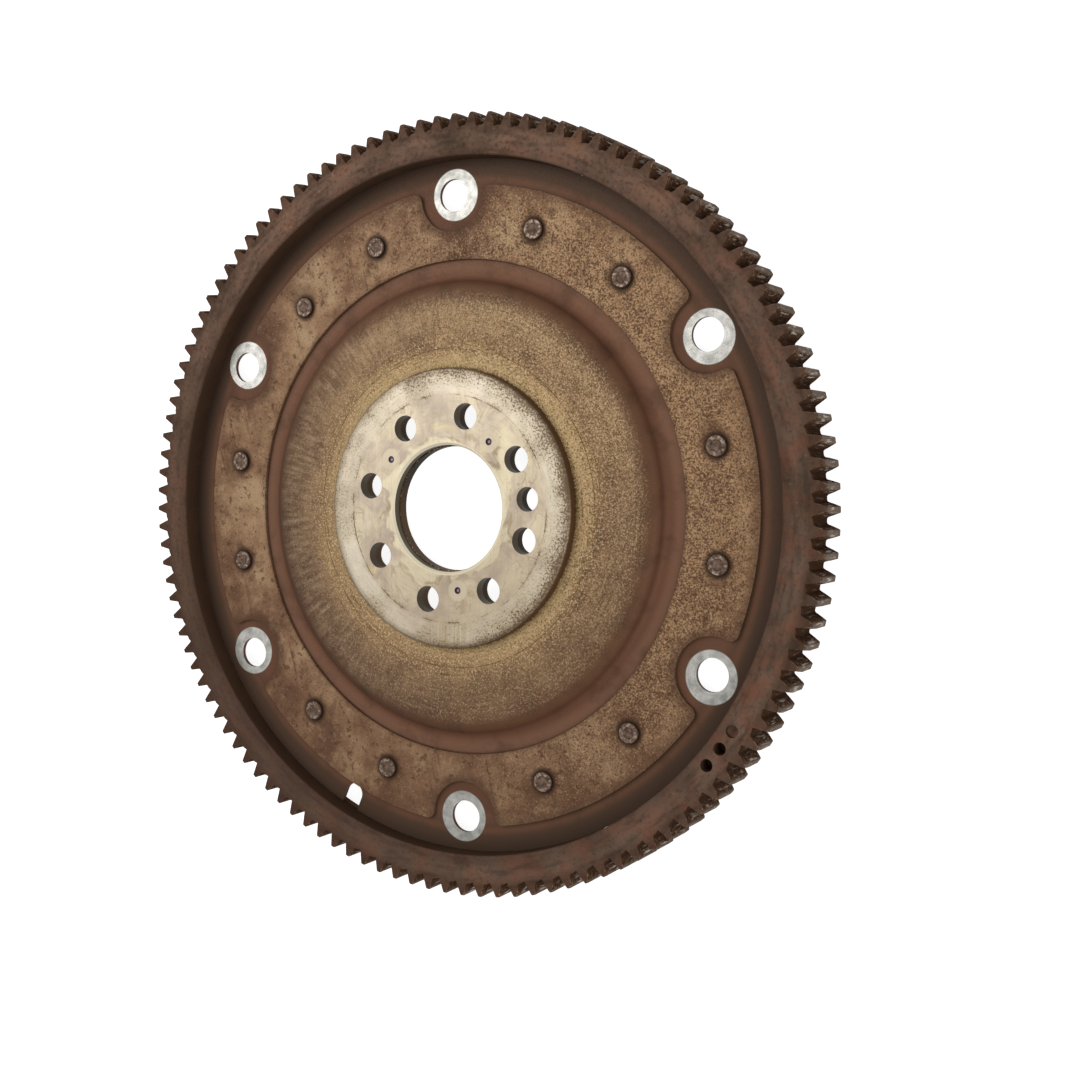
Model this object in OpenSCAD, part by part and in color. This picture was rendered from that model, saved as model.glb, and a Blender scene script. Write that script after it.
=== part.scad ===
// Flexplate: the thin steel disc between an engine's crankshaft and a torque converter.
// The disc carries a starter ring gear on its rim, a scalloped stiffening ring that rivets hold,
// and a thick plate at its hub with a thinner one behind it.
// Millimetres. The axis is Z and the engine side looks up.
// The ring gear's back face lies on z = 0, and one crank bolt hole lies on +Y.

/* [Starter ring gear] */
// Number of teeth
tooth_count = 118; // [100:1:160]
// Module of the teeth
tooth_module = 2.54; // [2.2:0.01:3.2]
// Pressure angle of the teeth, in degrees
pressure_angle = 20; // [16:0.5:25]
// Depth of the tooth gap below the pitch circle, in modules
dedendum = 1; // [0.95:0.01:1.4]
// Fillet radius at the foot of each tooth
tooth_fillet = 0.85; // [0.3:0.05:0.85]
// Angle from +X to the first tooth, in degrees
tooth_turn = 2.03; // [0:0.01:3]
// Width of the ring along the axis
gear_width = 15.5; // [13:0.1:20]
// Wall of the ring between the tooth gaps and the bore
gear_rim = 11.12; // [8.5:0.02:13]
// Chamfer on both ends of the teeth
tooth_chamfer = 0.5; // [0.2:0.05:1.5]
// Width of the lead-in that is ground off one flank of each tooth, on the upper face
lead_in_w = 0.9; // [0.2:0.05:1.5]
// Depth of the lead-in along the flank
lead_in_depth = 6; // [1:0.1:7]
// How far the lead-in runs out below the foot of the tooth
lead_in_run_out = 0.3; // [0.1:0.05:1]
// Chamfer on the upper edge of the ring's bore
gear_bore_chamfer = 0.5; // [0.1:0.05:1.5]
// Wide chamfer on the lower edge of the ring's bore
gear_back_chamfer = 3.2; // [0.5:0.1:4]

/* [Balance holes in the ring gear] */
// Diameter of the drill
balance_d = 4.7; // [3:0.1:6]
// Distance of the hole centres from the ring's bore
balance_inset = 5.2; // [4:0.1:6]
// Angle of the first hole, in degrees
balance_angle = 340.6; // [300:0.1:360]
// Angle between neighbouring holes, in degrees
balance_step = 3.3; // [2.8:0.1:6]
// Depth of the first hole, without its drill point
balance_shallow = 1.6; // [0.5:0.1:8]
// Depth of the two other holes, without their drill points
balance_deep = 7; // [2:0.1:9]
// Full angle of the drill point, in degrees
drill_point = 118; // [90:1:140]

/* [Flex disc] */
// Thickness of the sheet
disc_t = 1.6; // [1.2:0.1:3]
// Height of the flange's upper face above the ring gear's back face
flange_height = 7.5; // [6:0.1:9]
// Rise from the flange up to the plateau that carries the hub plate
dish_rise = 5.7; // [3:0.1:7]
// Bare flange between the stiffening ring and the bend
flange_ledge = 5.5; // [1:0.1:10]
// Radial run of the bend
bend_run = 8; // [7:0.1:12]
// Radial gap between the disc and the ring gear's bore
gear_fit = 0.05; // [0.02:0.01:0.2]

/* [Converter holes] */
// Number of holes for the torque converter's bolts
converter_count = 6; // [3:3:6]
// Angle of the first hole, in degrees
converter_first = 45; // [40:0.5:50]
// Distance of their centres in from the stiffening ring's outer edge
converter_inset = 3.15; // [1.5:0.05:6]
// Diameter of each hole
converter_hole_d = 12.6; // [8:0.1:14]

/* [Rim slot] */
// Angle of the slot, in degrees
slot_angle = 260.2; // [247:0.1:265]
// Width of the slot
slot_w = 8; // [4:0.1:10]
// Gap between the slot's round end and the stiffening ring
slot_gap = 0.3; // [0.1:0.1:2]

/* [Stiffening ring] */
// Bare flange between the stiffening ring and the ring gear
ring_margin = 10.3; // [8:0.1:14]
// Width from the inner edge to the outer edge
ring_w = 28.4; // [24:0.1:34]
// Thickness of the sheet
ring_t = 1.2; // [0.8:0.1:2.5]
// Radius of the scallop round each converter hole
scallop_r = 14.3; // [11:0.1:16]
// Radius of the rounded corners beside each scallop
scallop_corner_r = 3.2; // [1:0.1:4]

/* [Rivets] */
// Angle from the middle of a lobe to each of its two rivets, in degrees
rivet_half_angle = 11; // [6:0.1:14]
// Diameter of the shank
rivet_shank_d = 5.5; // [4:0.1:6.5]
// Radial gap round the shank
rivet_fit = 0.05; // [0.02:0.01:0.3]
// Diameter of the upper head
rivet_head_d = 8.2; // [7.6:0.1:10]
// Height of the upper head
rivet_head_h = 1.2; // [0.8:0.1:2.5]
// Bevel round the upper head
rivet_bevel = 0.45; // [0.2:0.05:0.6]
// Diameter of the hollow in the upper head
rivet_hollow_d = 4.6; // [2:0.1:5.5]
// Depth of the hollow in the upper head
rivet_hollow_depth = 0.4; // [0.1:0.05:0.7]
// Diameter of the lower head
rivet_tail_d = 9; // [7.6:0.1:11]
// Height of the lower head
rivet_tail_h = 1.6; // [0.8:0.1:2.5]

/* [Hub plate] */
// Diameter of the plate
hub_d = 109.6; // [100:0.1:120]
// Thickness of the plate
hub_t = 4.3; // [3:0.1:6]
// Radius of the rounded upper edge
hub_edge_r = 1.4; // [0.5:0.1:2.5]
// Radius of the plate's bore
hub_bore_r = 24.8; // [22:0.1:28]
// Chamfer on the upper edge of the plate's bore
hub_bore_chamfer = 0.9; // [0.1:0.05:1.5]
// How far the disc's bore stands in from the plate's bore
bore_ledge = 0.4; // [0.2:0.1:1.5]

/* [Plate behind the hub] */
// Diameter of the plate
back_d = 100; // [90:0.5:120]
// Thickness of the plate
back_t = 2.4; // [1:0.1:4]
// Chamfer round the lower edge of the plate
back_chamfer = 0.5; // [0.1:0.05:0.9]

/* [Crank bolt holes] */
// Diameter of the circle through the bolt holes
crank_pcd = 73.4; // [70:0.1:78]
// Diameter of each bolt hole
crank_hole_d = 10.3; // [8:0.1:11]
// How much wider each hole is in the disc and behind it than in the hub plate
crank_clearance = 0.4; // [0.1:0.1:1]
// Number of evenly stepped holes
crank_even_count = 7; // [3:1:7]
// Angle of the first hole, in degrees
crank_first = 45; // [43:0.5:47]
// Angle between the evenly stepped holes, in degrees
crank_step = 45; // [44:0.5:45]
// Angle of the odd hole, in degrees
crank_odd = 355; // [351:0.5:356]
// Diameter of the dowel hole
dowel_d = 9.4; // [6:0.1:10]
// Diameter of the circle that the dowel hole lies on
dowel_pcd = 73; // [70:0.1:78]
// Angle of the dowel hole, in degrees
dowel_angle = 20; // [18:0.5:22]

/* [Marks on the hub plate] */
// Angles of the three shallow marks, in degrees
mark_angles = [67, 157.2, 293];
// Radius that the marks lie on
mark_r = 32.2; // [30.5:0.1:34]
// Diameter of each mark
mark_d = 2.4; // [1.5:0.1:3]
// Depth of each mark
mark_depth = 0.4; // [0.1:0.05:1]

/* [Hidden] */
$fn = 96;

// A little more than nothing, for cuts that must run past a face
past = 1;

// Radii of the toothed rim
pitch_r = tooth_count * tooth_module / 2;
base_r = pitch_r * cos(pressure_angle);
tip_r = pitch_r + tooth_module;
root_r = pitch_r - dedendum * tooth_module;
gear_bore_r = root_r - gear_rim;

// Heights of the faces that lie on each other
flange_bottom = flange_height - disc_t;
ring_top = flange_height + ring_t;
plateau_top = flange_height + dish_rise;
plateau_bottom = plateau_top - disc_t;
back_bottom = plateau_bottom - back_t;
hub_top = plateau_top + hub_t;

// Radii from the ring gear's bore inwards: stiffening ring, converter holes, rivets
ring_outer_r = gear_bore_r - ring_margin;
ring_inner_r = ring_outer_r - ring_w;
converter_r = ring_outer_r - converter_inset;
rivet_r = (ring_inner_r + ring_outer_r) / 2;

// Radii of the disc, and the angle and radius of its two equal bends
disc_r = gear_bore_r - gear_fit;
disc_bore_r = hub_bore_r - bore_ledge;
bend_outer_r = ring_inner_r - flange_ledge;
bend_angle = 2 * atan(dish_rise / bend_run);
bend_r = bend_run / (2 * sin(bend_angle));
bend_inner_r = bend_outer_r - bend_run;

// Straight steps in each small arc of an outline
bend_steps = 10;
fillet_steps = 3;
edge_steps = 6;

converter_angles = [for (i = [0 : converter_count - 1]) converter_first + i * 360 / converter_count];
lobe_angles = [for (a = converter_angles) a + 180 / converter_count];
rivet_angles = [for (a = lobe_angles, side = [-1, 1]) a + side * rivet_half_angle];
crank_even = [for (i = [0 : crank_even_count - 1]) crank_first + i * crank_step];
crank_angles = concat(crank_even, [crank_odd]);

// Points of an arc in the plane, from angle a0 to a1
function arc(centre, r, a0, a1, steps) =
    [for (i = [0 : steps]) centre + r * on_circle(a0 + (a1 - a0) * i / steps)];

function on_circle(a) = [cos(a), sin(a)];

// Involute function, in degrees
function involute(a) = tan(a) * 180 / PI - a;

// Half the angle that a tooth spans at radius r
function half_tooth(r) = 90 / tooth_count + involute(pressure_angle) - involute(acos(base_r / r));

// The fillet's centre lies one fillet radius above the root circle and off the flank
fillet_r = root_r + tooth_fillet;
fillet_slope = acos(base_r / fillet_r);
fillet_angle = half_tooth(fillet_r) + tooth_fillet / (fillet_r * cos(fillet_slope)) * 180 / PI;

// One side of a tooth on +X, from the root up to the tip
half_outline = concat(
    arc(
        fillet_r * on_circle(fillet_angle),
        tooth_fillet,
        fillet_angle + 180,
        fillet_angle + 270 - fillet_slope,
        fillet_steps
    ),
    [for (r = [pitch_r, tip_r]) r * on_circle(half_tooth(r))]
);
half_last = len(half_outline) - 1;
tooth_outline = concat(
    [for (p = half_outline) [p.x, -p.y]],
    [for (i = [0 : half_last]) half_outline[half_last - i]]
);

function turned(p, a) = [p.x * cos(a) - p.y * sin(a), p.x * sin(a) + p.y * cos(a)];

module gear_outline() {
    polygon([
        for (i = [0 : tooth_count - 1])
            for (p = tooth_outline)
                turned(p, tooth_turn + i * 360 / tooth_count)
    ]);
}

// Half section of the ring: its bore, its flat ends and the chamfers, clear of the tooth tips
module gear_section() {
    clear_r = tip_r + past;
    rise = tooth_chamfer + past;
    polygon([
        [gear_bore_r + gear_back_chamfer, 0],
        [tip_r - tooth_chamfer, 0],
        [clear_r, rise],
        [clear_r, gear_width - rise],
        [tip_r - tooth_chamfer, gear_width],
        [gear_bore_r + gear_bore_chamfer, gear_width],
        [gear_bore_r, gear_width - gear_bore_chamfer],
        [gear_bore_r, gear_back_chamfer]
    ]);
}

// The wedge that is ground off the clockwise flank of a tooth on +X, so that a pinion slides in
module lead_in() {
    flank_angle = half_tooth(pitch_r);
    below = (pitch_r - root_r) / cos(pressure_angle) + lead_in_run_out;
    above = (tip_r - pitch_r) / cos(pressure_angle) + past;
    steepness = lead_in_depth / lead_in_w;
    rotate([0, 0, -flank_angle])
        translate([pitch_r, 0, gear_width])
            rotate([0, 0, pressure_angle])
                translate([-below, 0, 0])
                    rotate([90, 0, 90])
                        linear_extrude(height = below + above)
                            polygon([
                                [lead_in_w + past / steepness, past],
                                [-tooth_fillet, past],
                                [-tooth_fillet, -lead_in_depth - tooth_fillet * steepness]
                            ]);
}

// A blind hole drilled down from the ring's upper face
module balance_hole(angle, depth) {
    point_h = balance_d / 2 / tan(drill_point / 2);
    rotate([0, 0, angle])
        translate([gear_bore_r + balance_inset, 0, gear_width - depth])
            rotate_extrude()
                polygon([
                    [0, -point_h],
                    [balance_d / 2, 0],
                    [balance_d / 2, depth + past],
                    [0, depth + past]
                ]);
}

module starter_ring_gear() {
    color("#5a4a3f")
        difference() {
            intersection() {
                translate([0, 0, -past])
                    linear_extrude(height = gear_width + 2 * past)
                        gear_outline();
                rotate_extrude()
                    gear_section();
            }
            for (i = [0 : tooth_count - 1])
                rotate([0, 0, tooth_turn + i * 360 / tooth_count])
                    lead_in();
            balance_hole(balance_angle, balance_shallow);
            balance_hole(balance_angle - balance_step, balance_deep);
            balance_hole(balance_angle - 2 * balance_step, balance_deep);
        }
}

// Half section of the pressed disc: flange, two equal bends, plateau
module disc_section() {
    middle = flange_height - disc_t / 2;
    lower_bend = [bend_outer_r, middle + bend_r];
    upper_bend = [bend_inner_r, middle + dish_rise - bend_r];
    tight = bend_r - disc_t / 2;
    wide = bend_r + disc_t / 2;
    polygon(concat(
        [[disc_bore_r, plateau_top]],
        [[disc_bore_r, plateau_bottom]],
        arc(upper_bend, tight, 90, 90 - bend_angle, bend_steps),
        arc(lower_bend, wide, 270 - bend_angle, 270, bend_steps),
        [[disc_r, flange_bottom]],
        [[disc_r, flange_height]],
        arc(lower_bend, tight, 270, 270 - bend_angle, bend_steps),
        arc(upper_bend, wide, 90 - bend_angle, 90, bend_steps)
    ));
}

// A round cut through the flat sheets, at a radius and an angle
module hole_at(angle, r, d) {
    rotate([0, 0, angle])
        translate([r, 0, -past])
            cylinder(d = d, h = hub_top + 2 * past);
}

// The slot runs out through the rim from a round end beside the stiffening ring
module rim_slot() {
    end_r = ring_outer_r + slot_gap + slot_w / 2;
    hole_at(slot_angle, end_r, slot_w);
    rotate([0, 0, slot_angle])
        translate([end_r, -slot_w / 2, -past])
            cube([tip_r - end_r, slot_w, hub_top + 2 * past]);
}

// The crank and dowel holes of the disc and of the plate behind it
module wide_crank_holes() {
    for (a = crank_angles)
        hole_at(a, crank_pcd / 2, crank_hole_d + crank_clearance);
    hole_at(dowel_angle, dowel_pcd / 2, dowel_d + crank_clearance);
}

module flex_disc() {
    color("#6b5240")
        difference() {
            rotate_extrude()
                disc_section();
            for (a = converter_angles)
                hole_at(a, converter_r, converter_hole_d);
            for (a = rivet_angles)
                hole_at(a, rivet_r, rivet_shank_d + 2 * rivet_fit);
            wide_crank_holes();
            rim_slot();
        }
}

// What is cut off the sharp corner between a scallop on +X and the ring's edge
module scallop_corner() {
    cover = 1.5;
    hole = [converter_r, 0];
    from_axis = ring_outer_r - scallop_corner_r;
    from_hole = scallop_r + scallop_corner_r;
    corner_angle = third_angle(from_axis, converter_r, from_hole);
    apex_angle = third_angle(ring_outer_r, converter_r, scallop_r);
    centre = from_axis * on_circle(corner_angle);
    apex = ring_outer_r * on_circle(apex_angle);
    outward = centre / from_axis;
    inward = (hole - centre) / from_hole;
    difference() {
        polygon([
            centre,
            centre + cover * scallop_corner_r * inward,
            centre + cover * (apex - centre),
            centre + cover * scallop_corner_r * outward
        ]);
        translate(centre)
            circle(r = scallop_corner_r);
    }
}

// Angle between two sides of a triangle that faces its third side
function third_angle(a, b, opposite) = acos((a * a + b * b - opposite * opposite) / (2 * a * b));

module ring_outline() {
    difference() {
        circle(r = ring_outer_r);
        circle(r = ring_inner_r);
        for (a = converter_angles)
            rotate(a) {
                translate([converter_r, 0])
                    circle(r = scallop_r);
                scallop_corner();
                mirror([0, 1])
                    scallop_corner();
            }
        for (a = rivet_angles)
            rotate(a)
                translate([rivet_r, 0])
                    circle(d = rivet_shank_d + 2 * rivet_fit);
    }
}

module reinforcement_ring() {
    color("#8c7052")
        translate([0, 0, flange_height])
            linear_extrude(height = ring_t)
                ring_outline();
}

module hub_section() {
    hub_r = hub_d / 2;
    polygon(concat(
        [[hub_bore_r, plateau_top]],
        [[hub_r, plateau_top]],
        arc([hub_r - hub_edge_r, hub_top - hub_edge_r], hub_edge_r, 0, 90, edge_steps),
        [[hub_bore_r + hub_bore_chamfer, hub_top]],
        [[hub_bore_r, hub_top - hub_bore_chamfer]]
    ));
}

module hub_plate() {
    color("#cfc4a4")
        difference() {
            rotate_extrude()
                hub_section();
            for (a = crank_angles)
                hole_at(a, crank_pcd / 2, crank_hole_d);
            hole_at(dowel_angle, dowel_pcd / 2, dowel_d);
            for (a = mark_angles)
                rotate([0, 0, a])
                    translate([mark_r, 0, hub_top - mark_depth])
                        cylinder(d = mark_d, h = mark_depth + past);
        }
}

// Half section of the plate that lies against the disc's back
module back_section() {
    back_r = back_d / 2;
    polygon([
        [disc_bore_r, back_bottom],
        [back_r - back_chamfer, back_bottom],
        [back_r, back_bottom + back_chamfer],
        [back_r, plateau_bottom],
        [disc_bore_r, plateau_bottom]
    ]);
}

module back_plate() {
    color("#7a6a56")
        difference() {
            rotate_extrude()
                back_section();
            wide_crank_holes();
        }
}

// Half section of one rivet: lower head, shank through both sheets, hollowed upper head
module rivet_section() {
    head_r = rivet_head_d / 2;
    tail_r = rivet_tail_d / 2;
    hollow_r = rivet_hollow_d / 2;
    head_top = ring_top + rivet_head_h;
    polygon([
        [0, flange_bottom - rivet_tail_h],
        [tail_r - rivet_bevel, flange_bottom - rivet_tail_h],
        [tail_r, flange_bottom - rivet_tail_h + rivet_bevel],
        [tail_r, flange_bottom],
        [rivet_shank_d / 2, flange_bottom],
        [rivet_shank_d / 2, ring_top],
        [head_r, ring_top],
        [head_r, head_top - rivet_bevel],
        [head_r - rivet_bevel, head_top],
        [hollow_r, head_top],
        [hollow_r - rivet_hollow_depth, head_top - rivet_hollow_depth],
        [0, head_top - rivet_hollow_depth]
    ]);
}

module rivets() {
    color("#6a5a50")
        for (a = rivet_angles)
            rotate([0, 0, a])
                translate([rivet_r, 0, 0])
                    rotate_extrude()
                        rivet_section();
}

starter_ring_gear();
flex_disc();
reinforcement_ring();
hub_plate();
back_plate();
rivets();
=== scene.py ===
# %% [markdown]
# This lesson dresses a used flexplate: the thin steel disc that joins an engine's crankshaft to a torque
# converter and carries the starter's ring gear. The shapes come from the CAD frame, so this file is about
# surfaces: old rust, stains, dirt, wear and a few patches of bare steel. The plate lies on a pale floor
# with its engine side up, and the camera looks down at it.

# %% Load the frame
import math

import bpy
from mathutils import Matrix, Vector


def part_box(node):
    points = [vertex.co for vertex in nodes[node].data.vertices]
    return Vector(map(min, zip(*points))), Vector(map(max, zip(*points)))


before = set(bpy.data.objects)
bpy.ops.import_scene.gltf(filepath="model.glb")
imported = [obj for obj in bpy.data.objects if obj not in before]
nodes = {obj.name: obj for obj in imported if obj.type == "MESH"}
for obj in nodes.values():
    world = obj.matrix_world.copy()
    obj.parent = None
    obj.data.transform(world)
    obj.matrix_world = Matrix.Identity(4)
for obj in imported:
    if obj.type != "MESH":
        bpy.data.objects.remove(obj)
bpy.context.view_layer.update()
MM = 0.001
print("CAD nodes:", ", ".join(sorted(nodes)))

# %% [markdown]
# Colours are easiest to judge as the sRGB hex values of a paint program, but a shader reads linear light,
# so one function turns the first into the second. A second one adds a shader node, sets its properties
# and fills or links its sockets, so a material reads as a list of steps. A node given as a value means
# its first output. Sockets go by number where names repeat. In a MapRange, 0 is the value, 1 and 2 are
# where a mask begins and is full, and 3 and 4 are its strength there. In a colour Mix, 0 is the mask, 6
# lies below and 7 on top.

# %% Colour and node helpers
def linear(hex_colour):
    """Turns an sRGB hex colour into the linear values that shaders read."""
    parts = [int(hex_colour[i:i + 2], 16) / 255 for i in (1, 3, 5)]
    return [c / 12.92 if c <= 0.04045 else ((c + 0.055) / 1.055) ** 2.4 for c in parts] + [1.0]


def add(tree, kind, inputs, stops=None, **settings):
    """Adds one shader node, sets its properties, and fills or links its sockets."""
    made = tree.nodes.new("ShaderNode" + kind)
    for name, value in settings.items():
        setattr(made, name, value)
    for socket, value in inputs.items():
        if isinstance(value, bpy.types.Node):
            value = next(output for output in value.outputs if output.enabled)
        if isinstance(value, bpy.types.NodeSocket):
            tree.links.new(value, made.inputs[socket])
        else:
            made.inputs[socket].default_value = value
    for i, (position, hex_colour) in enumerate(stops or []):
        if i >= len(made.color_ramp.elements):
            made.color_ramp.elements.new(position)
        made.color_ramp.elements[i].position = position
        made.color_ramp.elements[i].color = linear(hex_colour)
    return made


print("Helpers ready; mid grey in linear light is", round(linear("#808080")[0], 3))

# %% [markdown]
# The camera stands where the photograph was taken from: a little to the right of the plate and well above
# it. It could be set by eye, but its place and turn were worked out from the tooth tips, the bolt holes
# and the rivets, which is more exact. The plate is turned about its own axis in the frame, so the camera
# turns with it.

# %% Camera
PHOTO_TILT = 2.59
PHOTO_SWING = -29.05
PLATE_TURN = -13.83
EYE_MM = (305.85, 13.28, 492.88)
LENS_MM = 48.29
SENSOR_MM = 36

turn_to_plate = Matrix.Rotation(math.radians(-PLATE_TURN), 4, "Z")
tilt = Matrix.Rotation(math.radians(PHOTO_TILT), 4, "X")
swing = Matrix.Rotation(math.radians(PHOTO_SWING), 4, "Y")
eye = Matrix.Translation(Vector(EYE_MM) * MM)
bpy.ops.object.select_all(action="DESELECT")
bpy.ops.object.camera_add()
camera = bpy.context.object
camera.name = "eye"
camera.data.lens = LENS_MM
camera.data.sensor_width = SENSOR_MM
camera.data.dof.use_dof = False
camera.matrix_world = turn_to_plate @ eye @ (tilt @ swing).inverted()
bpy.context.scene.camera = camera
print("Camera at", [round(c / MM) for c in camera.location], "mm")

# %% [markdown]
# Every finish here follows the plate's layout: rings round its axis, and sides that aged in their own
# ways. One lay in the damp, one was eaten into pits, and a sheltered one kept its dark oil stain. So each
# mask is worked out from a place on the plate: its radius, its angle, how near it is to one side, or
# which way the face looks.

# %% Places on the plate
PITTED_SIDE = 30
DAMP_SIDE = -45
SHELTERED_SIDE = 215


def around_axis(tree, place):
    """Radius from the plate's axis in millimetres, and angle round it in radians."""
    flat = add(tree, "VectorMath", {0: place, 1: (1, 1, 0)}, operation="MULTIPLY")
    radius = add(tree, "VectorMath", {0: flat}, operation="LENGTH")
    sides = add(tree, "SeparateXYZ", {0: flat})
    angle = add(tree, "Math", {0: sides.outputs["Y"], 1: sides.outputs["X"]}, operation="ARCTAN2")
    return radius, angle


def towards(tree, angle, degrees):
    """One on the side of the plate that lies at this angle, and minus one on the far side."""
    turned = add(tree, "Math", {0: angle, 1: math.radians(degrees)}, operation="SUBTRACT")
    return add(tree, "Math", {0: turned}, operation="COSINE")


def facing_up(tree):
    """One on faces that look up, minus one on faces that look down, and nought on walls."""
    normal = add(tree, "TexCoord", {}).outputs["Normal"]
    return add(tree, "SeparateXYZ", {0: normal}).outputs["Z"]


print("Sides in degrees: pitted", PITTED_SIDE, "damp", DAMP_SIDE, "sheltered", SHELTERED_SIDE)

# %% [markdown]
# All steels begin and end in the same way. They begin with the place in millimetres, from Object
# coordinates, which are fixed to the steel, so a stain stays where it is in every view. They end in one
# shader that takes the colour, metal, gloss and relief. Then the steel takes the place of the plain
# material on a CAD piece.

# %% Start, end and use of a steel
def start_steel(name):
    """A new material, its empty node tree, and the place on the plate in millimetres."""
    material = bpy.data.materials.new(name)
    material.use_nodes = True
    tree = material.node_tree
    tree.nodes.clear()
    coordinates = add(tree, "TexCoord", {}).outputs["Object"]
    place = add(tree, "VectorMath", {0: coordinates, 1: (1 / MM,) * 3}, operation="MULTIPLY")
    return material, tree, place


def finish_steel(material, tree, colour, metal, gloss, relief, mirror):
    """Joins the maps in one shader. The mirror gloss is one number all over, so the export keeps it."""
    shader = add(tree, "BsdfPrincipled", {
        "Base Color": colour, "Metallic": metal, "Roughness": gloss, "Normal": relief,
        "Specular IOR Level": mirror})
    add(tree, "OutputMaterial", {"Surface": shader})
    return material


def dress(piece_names, steel):
    """Puts a finished steel on CAD pieces, in place of the material that they came with."""
    for name in piece_names:
        nodes[name].data.materials.clear()
        nodes[name].data.materials.append(steel)
    print("Dressed", " and ".join(piece_names), "in", steel.name, "of", len(steel.node_tree.nodes), "nodes")


print("One unit of the patterns is", MM, "m")

# %% [markdown]
# The ring gear is carbon steel that was cut, hardened and then left to rust. Its flat face has a thin
# brown film with redder and greyer clouds a few centimetres wide, and more rust on the side that lay in
# the damp. A painted image could show this, but noise in the plate's own millimetres needs no image and
# doesn't repeat. Broad clouds come first, and a loop then lays each finer mask over them in its own tone.

# %% Ring gear: rust film
GEAR_CLOUD_MM = 28


def rust_film(tree, place, angle, patches, grit):
    """Brown clouds with dark and pale grit, and redder and barer patches towards the damp side."""
    clouds = add(tree, "TexNoise", {
        "Vector": place, "Scale": 1 / GEAR_CLOUD_MM, "Detail": 5, "Roughness": 0.55})
    film = add(tree, "ValToRGB", {0: clouds}, stops=[
        (0.30, "#524337"), (0.43, "#655043"), (0.54, "#70594B"), (0.68, "#7D5D4B")])
    dark = add(tree, "MapRange", {0: grit, 1: 0.47, 2: 0.33, 4: 0.4})
    pale = add(tree, "MapRange", {0: grit, 1: 0.66, 2: 0.74, 4: 0.5})
    damp = add(tree, "MapRange", {0: towards(tree, angle, DAMP_SIDE), 1: -0.7, 2: 0.5})
    rusty = add(tree, "MapRange", {0: patches, 1: 0.48, 2: 0.66, 4: 0.7})
    rusty = add(tree, "Math", {0: rusty, 1: damp}, operation="MULTIPLY")
    bare = add(tree, "MapRange", {0: patches, 1: 0.48, 2: 0.34, 4: 0.6})
    bare = add(tree, "Math", {0: bare, 1: damp}, operation="MULTIPLY")
    for mask, tone in ((dark, "#35271F"), (pale, "#97806F"), (rusty, "#764E3D"), (bare, "#625449")):
        film = add(tree, "Mix", {0: mask, 6: film, 7: linear(tone)}, data_type="RGBA")
    return film


print("Rust film: clouds", GEAR_CLOUD_MM, "mm wide")

# %% [markdown]
# The face also has streaks that run round it, drawn out by the turning gear. A noise gets long in one
# direction when its coordinates are stretched, and here these are radius and angle, so the streaks follow the
# rim. Dirt has gathered near both edges of the face, and by the tooth roots the darker band is also painted
# shade from the gaps between the teeth. One side has gone dull.

# %% Ring gear: streaks along the rim
GEAR_BORE_R = 136.2
TOOTH_ROOT_R = 147.3
STREAKS_PER_MM = 0.3
STREAKS_PER_RADIAN = 9
DULL_SIDE = 225


def rim_streaks(tree, film, radius, angle):
    """Soot and red rust along the rim, a duller side, dirt near both edges of the face, and painted shade by
    the tooth roots.
    """
    across = add(tree, "Math", {0: radius, 1: STREAKS_PER_MM}, operation="MULTIPLY")
    around = add(tree, "Math", {0: angle, 1: STREAKS_PER_RADIAN}, operation="MULTIPLY")
    along_rim = add(tree, "CombineXYZ", {0: across, 1: around})
    streaks = add(tree, "TexNoise", {"Vector": along_rim, "Scale": 1, "Detail": 4, "Roughness": 0.55})
    sooty = add(tree, "MapRange", {0: streaks, 1: 0.50, 2: 0.34, 4: 0.55})
    reddish = add(tree, "MapRange", {0: streaks, 1: 0.54, 2: 0.70, 4: 0.5})
    darker_side = add(tree, "MapRange", {0: towards(tree, angle, DULL_SIDE), 1: 0.2, 2: 1.0, 4: 0.6})
    inner_rim = add(tree, "MapRange", {0: radius, 1: GEAR_BORE_R + 5.3, 2: GEAR_BORE_R + 1.3, 4: 0.3})
    # Soot by the tooth roots, with painted shade from the gaps between the teeth.
    tooth_soot_and_shade = add(tree, "MapRange", {0: radius, 1: TOOTH_ROOT_R - 2.8, 2: TOOTH_ROOT_R + 0.7, 4: 0.45})
    for mask, tone in ((sooty, "#3C3029"), (reddish, "#7A5746"), (darker_side, "#503E34"),
                       (inner_rim, "#3C2C24"), (tooth_soot_and_shade, "#3E2A20")):
        film = add(tree, "Mix", {0: mask, 6: film, 7: linear(tone)}, data_type="RGBA")
    return film


print("Streaks about", round(TOOTH_ROOT_R / STREAKS_PER_RADIAN), "mm long")

# %% [markdown]
# A pinion has worn the teeth paler along the middle of their flanks and at the tips, and streaks of that wear
# are painted bright as glints of light. The gaps between them are dark with dirt and with painted shade. The
# same flanks could be split off as a second material slot, but a mask over height and radius does it without
# touching the CAD mesh. The gear's bore is dirty too, and below the disc a lighter band on its wall is
# painted light, where the wall lies in shade.

# %% Ring gear: worn teeth with painted glints and shade, and the bore with painted light
TOOTH_TIP_R = 152.4
GEAR_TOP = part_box("starter_ring_gear")[1].z / MM
RUB_WIDTH_MM = 0.9
RUB_LENGTH_MM = 7


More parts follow.
